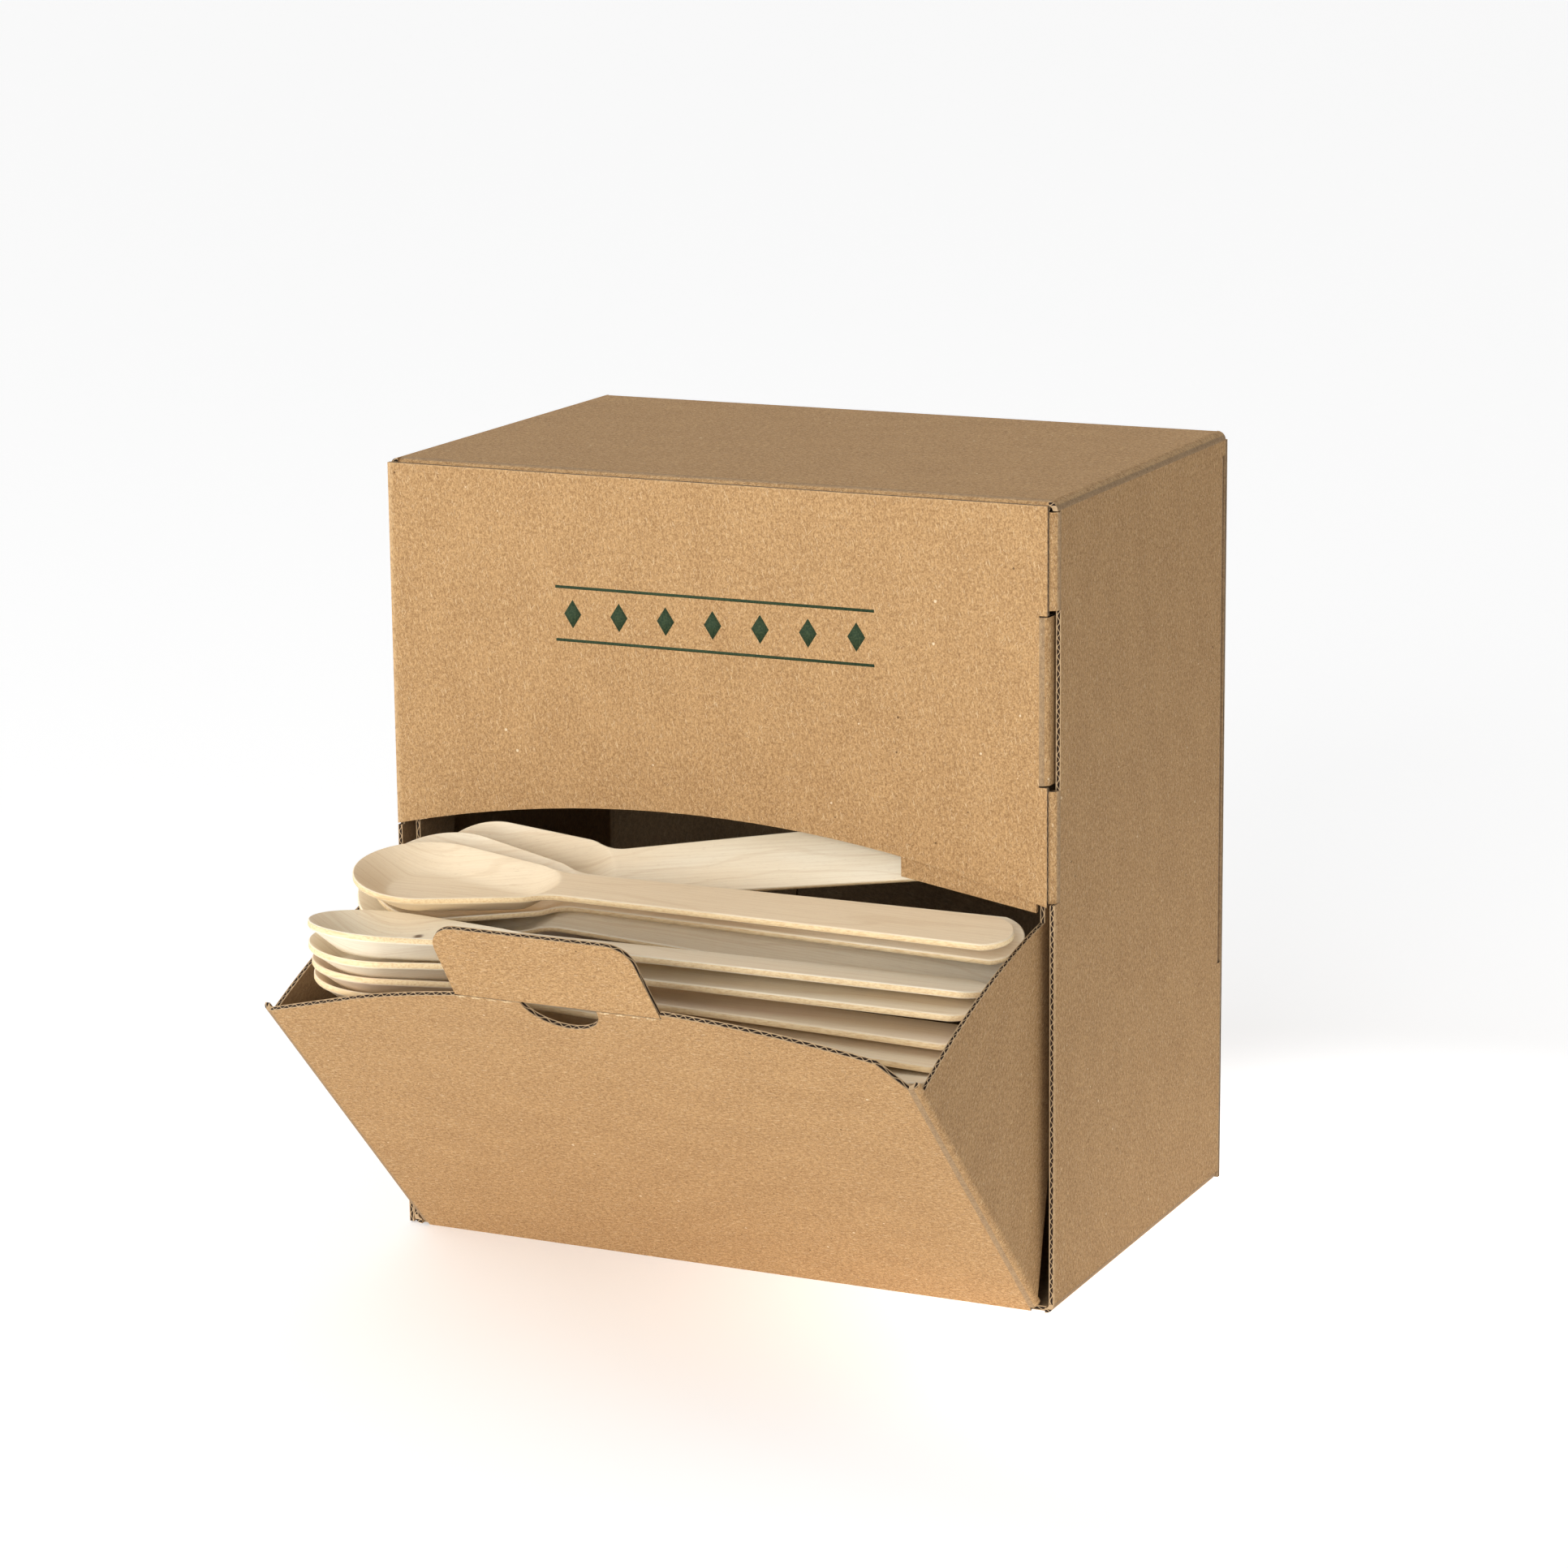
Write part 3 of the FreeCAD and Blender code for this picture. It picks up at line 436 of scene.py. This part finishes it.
tray_up, tray_in = leaning(TRAY_TILT)
tab_in = leaning(TAB_TILT)[1]
hinge = -back_face
tab_crease = hinge + TAB_CREASE_UP * tray_up + BOARD * tray_in
gusset_cuts = (tray_up, -tray_up, tray_in)

wear("tray_panel", board_finish("board_tray", hinge, tray_in, X, square=False))
wear("tray_right_gusset", board_finish("board_gusset_right", hinge + GUSSET_FACE * X, -X, tray_in,
                                       gusset_cuts, False))
wear("tray_left_gusset", board_finish("board_gusset_left", hinge - GUSSET_FACE * X, X, tray_in,
                                      gusset_cuts, False))
wear("pull_tab", board_finish("board_tab", tab_crease - BOARD * tab_in, tab_in, X, square=False))

TAB_ENDS, SLOT_ENDS = (-24.5, 27.5), (-8.0, 11.4)
DASH, DASH_GAP = 2.6, 1.3
TUFT, TUFT_BELOW = 0.26, 0.06
dash_starts = np.concatenate([np.arange(TAB_ENDS[0], SLOT_ENDS[0] - DASH, DASH + DASH_GAP),
                              np.arange(SLOT_ENDS[1] + DASH_GAP / 2, TAB_ENDS[1] - DASH, DASH + DASH_GAP)])
crease_line = tab_crease - BOARD * tray_in - (TUFT + TUFT_BELOW) * tray_up
dashes = dash_starts[:, None] * X + crease_line
torn_fibres("tab_crease_fibres", dashes, dashes + DASH * X, tray_up, -tray_in, TUFT, 3, "tray")

# ------------------------------------------------------------------------------------------- the spoons
# Each spoon is pressed from birch veneer 1.7 mm thick: a flat blank whose bowl is dished 5 mm deep by a
# heated die. Faces are sanded smooth, and the die-cut edge is warmer and shows the wood's layers.

VENEER = 1.7
EDGE_ROUND = 0.28
DISH, WALL, WALL_EASE = 5.2, 8.0, 0.012
BOWL_TIP, HEEL, HEEL_X = 17.2, 10.5, 40.0
NECK, NECK_ROUND, NECK_TRIES = 6.4, 12.0, 20
LENGTH, END_HALF, END_RADIUS, END_X = 160.0, 8.4, 8.8, 153.82
STILL_AT = 0.3


def spoon_edge(rows):
    """Half of a spoon's outline from the bowl's tip to the handle's end, with its outward directions.

    It is the tip circle, its tangent to the heel circle, the heel, the neck's hollow arc, the handle's
    straight side and the end's arc, each divided evenly. The hollow arc's centre is found in rounds: it
    lies over the handle's side by its radius, and off the heel's centre by both radii.
    """
    lean = math.acos((BOWL_TIP - HEEL) / (HEEL_X - BOWL_TIP))
    slope = (END_HALF - NECK) / (END_X - HEEL_X)
    side_turn = math.atan(slope)
    reach = HEEL + NECK_ROUND
    hollow_x = HEEL_X + NECK_ROUND
    for _ in range(NECK_TRIES):
        hollow_y = NECK + slope * (hollow_x - HEEL_X) + NECK_ROUND / math.cos(side_turn)
        hollow_x = HEEL_X + math.sqrt(reach ** 2 - hollow_y ** 2)
    meet = math.atan2(hollow_y, hollow_x - HEEL_X)
    end_centre = LENGTH - END_RADIUS

    def arc(centre_x, centre_y, radius, first, last, count, side=1):
        """Points and outward directions of an arc. side is -1 where it is hollow."""
        angle = np.linspace(first, last, count)
        return np.stack([centre_x + radius * np.cos(angle), centre_y + radius * np.sin(angle),
                         side * np.cos(angle), side * np.sin(angle)])

    def run(before, after, count):
        """Points and outward directions between the end of one arc and the start of the next."""
        share = np.linspace(0, 1, count)[1:-1]
        return before[:, -1:] + (after[:, :1] - before[:, -1:]) * share

    tip = arc(BOWL_TIP, 0, BOWL_TIP, math.pi, lean, rows // 3)
    heel = arc(HEEL_X, 0, HEEL, lean, meet, rows // 10)
    hollow = arc(hollow_x, hollow_y, NECK_ROUND, math.pi + meet, 1.5 * math.pi + side_turn, rows // 8, -1)
    end = arc(end_centre, 0, END_RADIUS, math.acos((END_X - end_centre) / END_RADIUS), 0, rows // 6)
    return np.concatenate([tip, run(tip, heel, rows // 8), heel, hollow[:, 1:], run(hollow, end, rows // 3),
                           end], axis=1)


def dish_depth(x, y):
    """Depth of the pressed bowl under its rim: a straight wall with eased ends around a flat bottom.

    The distance in from the rim is that of a capsule with two radii, negative outside it.
    """
    lean = (BOWL_TIP - HEEL) / (HEEL_X - BOWL_TIP)
    upright = math.sqrt(1 - lean ** 2)
    side = np.abs(y)
    along = x - BOWL_TIP
    past_tip = along * upright - side * lean
    near_tip = np.hypot(along, side) - BOWL_TIP
    near_heel = np.hypot(x - HEEL_X, side) - HEEL
    flank = side * upright + along * lean - BOWL_TIP
    reach = (HEEL_X - BOWL_TIP) * upright
    inset = -np.where(past_tip < 0, near_tip, np.where(past_tip > reach, near_heel, flank))
    share = inset / WALL
    eased = 0.5 * (np.sqrt(share ** 2 + WALL_EASE) - np.sqrt((share - 1) ** 2 + WALL_EASE) + 1)
    rim = 0.5 * (math.sqrt(WALL_EASE) - math.sqrt(1 + WALL_EASE) + 1)
    return DISH * np.clip((eased - rim) / (1 - 2 * rim), 0, 1) * (inset > 0)


def spoon_surface(rows, columns, warp):
    """Closed skin of a spoon in millimetres: its points, its faces, and which of them the die has cut.

    Every row is a ring around the section: over the top, down one edge, back underneath and up the other
    edge. The warp bows the blade by a half sine along it and twists it about one still place, a little, as
    the veneer does when it dries.
    """
    x, y, out_x, out_y = spoon_edge(rows)
    inner_x, inner_y = x - EDGE_ROUND * out_x, np.maximum(y - EDGE_ROUND * out_y, 0)
    share = np.sin(np.linspace(-math.pi / 2, math.pi / 2, columns))
    top = np.stack([np.repeat(inner_x[:, None], columns, 1), inner_y[:, None] * share], axis=2)
    rim_right = np.stack([x, y], axis=1)[:, None]
    rim_left = np.stack([x, -y], axis=1)[:, None]
    ring = np.concatenate([top, rim_right, rim_right, top[:, ::-1], rim_left, rim_left], axis=1)
    drop = np.concatenate([np.zeros(columns), [EDGE_ROUND, VENEER - EDGE_ROUND], np.full(columns, VENEER),
                           [VENEER - EDGE_ROUND, EDGE_ROUND]])
    flat_x, flat_y = ring[..., 0], ring[..., 1]
    z = -dish_depth(flat_x, flat_y) - drop
    bow, twist = warp
    z = z + bow * np.sin(math.pi * flat_x / LENGTH) + twist * flat_y * (flat_x / LENGTH - STILL_AT)
    points = np.stack([flat_x, flat_y, z], axis=2)
    count, around = flat_x.shape
    row, step = np.meshgrid(np.arange(count - 1), np.arange(around), indexing="ij")
    following = (step + 1) % around
    quads = np.stack([row * around + step, (row + 1) * around + step, (row + 1) * around + following,
                      row * around + following], axis=2).reshape(-1, 4)
    cut = np.isin(step, [columns, 2 * columns + 2]).reshape(-1)
    return points.reshape(-1, 3), quads, cut


def turned(points, place, turns):
    """Points of a spoon set down: rolled about its length, pitched, yawed and moved, in metres."""
    yaw, pitch, roll = [(math.cos(angle), math.sin(angle)) for angle in np.radians(turns)]
    about_x = np.array([[1, 0, 0], [0, roll[0], -roll[1]], [0, roll[1], roll[0]]])
    about_y = np.array([[pitch[0], 0, pitch[1]], [0, 1, 0], [-pitch[1], 0, pitch[0]]])
    about_z = np.array([[yaw[0], -yaw[1], 0], [yaw[1], yaw[0], 0], [0, 0, 1]])
    corner = left_face - back_face
    return (points @ (about_z @ about_y @ about_x).T + corner + np.array(place)) / MM


BLADE_UNIT = 100.0
BLADE_SHIFT = np.array([37.0, 11.0, 5.0])
KNOT_HALF = (1.7, 0.8)


def birch_face(label, pale, warm, seed, knot):
    """Sanded birch: fine grain along the blade, soft growth lines that wander across it, and pores.

    The seed picks another place in the wood. A knot is a dark oval at a place on the blade.
    """
    material = bpy.data.materials.new(label)
    material.use_nodes = True
    tree = material.node_tree
    spread = wire(tree, "UVMap", uv_map="blade").outputs[0]
    blade = wire(tree, "Mapping", ("Vector", spread), ("Location", tuple(seed * BLADE_SHIFT)),
                 ("Scale", (BLADE_UNIT, BLADE_UNIT, 1))).outputs[0]
    wander = stretched(tree, blade, 0, (60, 14), 2, 0.5)
    grain = stretched(tree, blade, 1.5, (22, 0.5), 4, 0.62)
    fine = stretched(tree, blade, -1, (5, 0.16), 3, 0.6)
    colour = blend(tree, band(tree, wander, 0.3, 0.7), pale, warm)
    streaks = calc(tree, "MULTIPLY", band(tree, grain, 0.38, 0.72), 0.3)
    colour = blend(tree, streaks, colour, ink(216, 188, 150))
    axes = wire(tree, "SeparateXYZ", ("Vector", blade)).outputs
    drift = calc(tree, "SUBTRACT", stretched(tree, blade, 0, (85, 22), 3, 0.45), 0.5)
    across = calc(tree, "ADD", axes[1], calc(tree, "MULTIPLY", drift, 30.0))
    rings = calc(tree, "SINE", calc(tree, "MULTIPLY", across, 0.9))
    line = calc(tree, "MULTIPLY", band(tree, rings, 0.88, 1.0), 0.15)
    colour = blend(tree, line, colour, ink(202, 166, 122))
    pores = band(tree, stretched(tree, blade, 0.5, (1.6, 0.09), 1, 0.4), 0.66, 0.76)
    colour = blend(tree, calc(tree, "MULTIPLY", pores, 0.3), colour, ink(178, 142, 102))
    sheen = calc(tree, "MULTIPLY", band(tree, fine, 0.45, 0.8), 0.25)
    colour = blend(tree, sheen, colour, ink(247, 236, 214))
    if knot:
        place = tuple(along / BLADE_UNIT for along in (*knot, 0))
        away = wire(tree, "VectorMath", (0, spread), (1, place), operation="SUBTRACT").outputs[0]
        squeeze = (BLADE_UNIT / KNOT_HALF[0], BLADE_UNIT / KNOT_HALF[1], 0)
        oval = wire(tree, "VectorMath", (0, away), (1, squeeze), operation="MULTIPLY").outputs[0]
        off_knot = wire(tree, "VectorMath", (0, oval), operation="LENGTH").outputs["Value"]
        eye = calc(tree, "SUBTRACT", 1.0, band(tree, calc(tree, "ADD", off_knot, fine), 0.75, 1.5))
        colour = blend(tree, calc(tree, "MULTIPLY", eye, 0.85), colour, ink(96, 66, 44))
    relief = calc(tree, "ADD", calc(tree, "MULTIPLY", grain, 0.5), calc(tree, "MULTIPLY", fine, 0.5))
    relief = calc(tree, "SUBTRACT", relief, calc(tree, "MULTIPLY", pores, 0.5))
    bump = wire(tree, "Bump", ("Strength", 0.5), ("Distance", 0.00006), ("Height", relief))
    shader = tree.nodes["Principled BSDF"]
    tree.links.new(colour, shader.inputs["Base Color"])
    tree.links.new(bump.outputs[0], shader.inputs["Normal"])
    shader.inputs["Roughness"].default_value = 0.52
    shader.inputs["Specular IOR Level"].default_value = 0.3
    return material


def birch_edge(label):
    """Die-cut edge of the veneer: warmer, in thin layers, and paler where the cutter crushed the fibres."""
    material = bpy.data.materials.new(label)
    material.use_nodes = True
    tree = material.node_tree
    here = wire(tree, "TexCoord").outputs["Object"]
    place = wire(tree, "Mapping", ("Vector", here), ("Scale", (MM, MM, MM))).outputs[0]
    layers = stretched(tree, place, 4, (9, 0.35), 3, 0.6)
    crush = stretched(tree, place, 12, (3, 1.2), 3, 0.6)
    colour = blend(tree, band(tree, layers, 0.35, 0.7), ink(246, 222, 178), ink(228, 196, 148))
    colour = blend(tree, calc(tree, "MULTIPLY", band(tree, crush, 0.5, 0.8), 0.6), colour, ink(248, 226, 180))
    bump = wire(tree, "Bump", ("Strength", 0.5), ("Distance", 0.0001), ("Height", layers))
    shader = tree.nodes["Principled BSDF"]
    tree.links.new(colour, shader.inputs["Base Color"])
    tree.links.new(bump.outputs[0], shader.inputs["Normal"])
    shader.inputs["Roughness"].default_value = 0.68
    shader.inputs["Specular IOR Level"].default_value = 0.22
    return material


edge_finish = birch_edge("birch_cut_edge")


def skin(label, points, quads, cut, blade_places, face_finish, body):
    """Closed skin of veneer, with a map of the blade in hundreds of millimetres."""
    mesh = smooth_mesh(label, points, quads, [face_finish, edge_finish])
    mesh.polygons.foreach_set("material_index", cut.astype(np.int32))
    blade = mesh.uv_layers.new(name="blade")
    blade.data.foreach_set("uv", (blade_places[quads.reshape(-1)] / BLADE_UNIT).reshape(-1))
    return finished(label, mesh, body)


PALE, CREAM, ROSY = ink(248, 236, 211), ink(243, 224, 192), ink(234, 208, 182)
SPOON_ROWS, SPOON_COLUMNS = 150, 33

# The place of each bowl's tip, in from the carton's lower front left corner, then yaw, pitch and roll in
# degrees, bow and twist, the face's two tones, and a knot's place on the blade.
HEAP = {
    "spoon_top": ((13.2, -43.1, 104.9), (10.8, 3.1, 8.7), (0.2, 0.001), (CREAM, CREAM), None),
    "spoon_second": ((12.2, -31.7, 101), (9.1, 3, 23), (0.1, 0.0), (CREAM, PALE), None),
    "spoon_left": ((8.1, -32.4, 97.8), (10.3, 5.4, 25.1), (0.1, 0.0), (PALE, PALE), None),
    "spoon_rear": ((14.1, -15.2, 91.6), (11.2, -7.5, 50.3), (0.1, 0.0), (PALE, CREAM), None),
    "spoon_fan_1": ((16.5, -70.6, 98.8), (16.4, 4.5, -5.7), (0.1, 0.0), (PALE, PALE), (24.0, 9.5)),
    "spoon_fan_2": ((13.6, -65.1, 92.8), (12.3, 3.5, 0.4), (0.1, 0.0), (PALE, CREAM), None),
    "spoon_fan_3": ((12.1, -60.6, 87.7), (8.8, 3.7, -0.4), (0.1, 0.0), (ROSY, CREAM), None),
    "spoon_fan_4": ((11.1, -57.5, 83.8), (5.6, 3.6, 1.3), (0.1, 0.0), (CREAM, CREAM), None),
    "spoon_inner": ((10.4, -4.1, 80), (3.1, -1, 12.3), (0.1, 0.0), (ROSY, CREAM), None),
    "spoon_under": ((10.7, -41.7, 79.2), (4, 2.5, 15.2), (0.1, 0.0), (ROSY, ROSY), None),
    "spoon_low": ((8.9, -45.6, 69.3), (-2, -0.8, -5.5), (0.1, 0.0), (CREAM, PALE), None),
    "spoon_reversed": ((168.1, -43.1, 66.8), (173, 0.8, -10.6), (0.1, 0.0), (ROSY, CREAM), None),
}

for seed, (label, (place, turns, warp, tones, knot)) in enumerate(HEAP.items(), start=1):
    flat, quads, cut = spoon_surface(SPOON_ROWS, SPOON_COLUMNS, warp)
    face_finish = birch_face("birch_" + label, *tones, seed, knot)
    made = skin(label + "_pressed", turned(flat, place, turns), quads, cut, flat[:, :2], face_finish,
                "top_spoon" if label == "spoon_top" else "spoon_heap")
    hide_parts(label)

# ------------------------------------------------------------------------------------ the nested bundle
# The stock under the loose spoons is a bundle of spoons pressed into each other as they come from the
# factory. Each lies straight above the next, a little more than one veneer higher, and a hair out of line.

NESTED, NEST_STEP, NEST_STRAY = 18, 1.82, 0.12
NEST_TIP = np.array([8.0, 3.0, 56.0])
NEST_ROWS, NEST_COLUMNS, NEST_SEED = 64, 15, 20

draw = np.random.default_rng(11)
single, quads, cut = spoon_surface(NEST_ROWS, NEST_COLUMNS, (0.0, 0.0))
strays = np.column_stack([draw.uniform(-NEST_STRAY, NEST_STRAY, (NESTED, 2)), np.zeros(NESTED)])
drops = np.outer(np.arange(NESTED), (0.0, 0.0, -NEST_STEP))
stack = np.concatenate([turned(single, tip, (0, 0, 0)) for tip in NEST_TIP + strays + drops])
stack_quads = np.concatenate([quads + len(single) * layer for layer in range(NESTED)])
nest_face = birch_face("birch_spoon_nest", CREAM, PALE, NEST_SEED, None)
nest = skin("spoon_nest_stacked", stack, stack_quads, np.tile(cut, NESTED),
            np.tile(single[:, :2], (NESTED, 1)), nest_face, "spoon_heap")
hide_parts("spoon_nest_rear")

# ------------------------------------------------------------------------------------------- the studio
# A white floor that glows, most of all beside the right side, and so lights the dispenser from below, a
# large soft key in front, and a dimmer room all round, darker on the right. Sizes here are in metres.

ROOM, ROOM_FALL = 0.72, 0.72
FLOOR_HALF, FLOOR_GLOW = 9, 0.3
SPOT_GLOW, SPOT_PLACE, SPOT_FROM, SPOT_TO = 0.95, (0.14, 0.02, 0.0), 0.02, 0.2

floor_mesh = bpy.data.meshes.new("floor")
floor_corners = FLOOR_HALF * np.array([(-1, -1, 0), (1, -1, 0), (1, 1, 0), (-1, 1, 0)])
floor_mesh.from_pydata(floor_corners.tolist(), [], [(0, 1, 2, 3)])
floor = bpy.data.objects.new("floor", floor_mesh)
bpy.context.scene.collection.objects.link(floor)
floor_finish = bpy.data.materials.new("pale_floor")
floor_finish.use_nodes = True
floor_tree = floor_finish.node_tree
floor_shader = floor_tree.nodes["Principled BSDF"]
for name, value in (("Base Color", (0.88, 0.88, 0.88, 1)), ("Roughness", 0.9), ("Specular IOR Level", 0.1),
                    ("Emission Color", (1, 1, 1, 1))):
    floor_shader.inputs[name].default_value = value
away = wire(floor_tree, "VectorMath", (0, wire(floor_tree, "TexCoord").outputs["Object"]), (1, SPOT_PLACE),
            operation="DISTANCE").outputs["Value"]
spot = calc(floor_tree, "SUBTRACT", 1.0, band(floor_tree, away, SPOT_FROM, SPOT_TO))
glow = calc(floor_tree, "ADD", FLOOR_GLOW, calc(floor_tree, "MULTIPLY", spot, SPOT_GLOW))
floor_tree.links.new(glow, floor_shader.inputs["Emission Strength"])
floor_mesh.materials.append(floor_finish)


def lamp(label, place, aim, size, power):
    """Square soft light at a place, facing a point."""
    light = bpy.data.lights.new(label, "AREA")
    light.shape, light.size, light.energy = "SQUARE", size, power
    made = bpy.data.objects.new(label, light)
    away = np.array(place, float) - np.array(aim, float)
    away /= np.linalg.norm(away)
    side = np.cross([0, 0, 1], away)
    side /= np.linalg.norm(side)
    pose = np.eye(4)
    pose[:3, 0], pose[:3, 1], pose[:3, 2], pose[:3, 3] = side, np.cross(away, side), away, place
    bpy.context.scene.collection.objects.link(made)
    made.matrix_world = Matrix(pose.tolist())


lamp("key", (0.15, -1.7, 0.42), (0, 0, 0.1), 0.9, 18.0)
world = bpy.data.worlds.new("studio")
world.use_nodes = True
sky = world.node_tree
from_left = wire(sky, "SeparateXYZ", ("Vector", wire(sky, "TexCoord").outputs["Generated"])).outputs[0]
strength = calc(sky, "SUBTRACT", ROOM, calc(sky, "MULTIPLY", from_left, ROOM_FALL))
sky.links.new(strength, sky.nodes["Background"].inputs["Strength"])
sky.nodes["Background"].inputs["Color"].default_value = (1, 1, 1, 1)
bpy.context.scene.world = world
bpy.context.scene.view_settings.view_transform = "Standard"
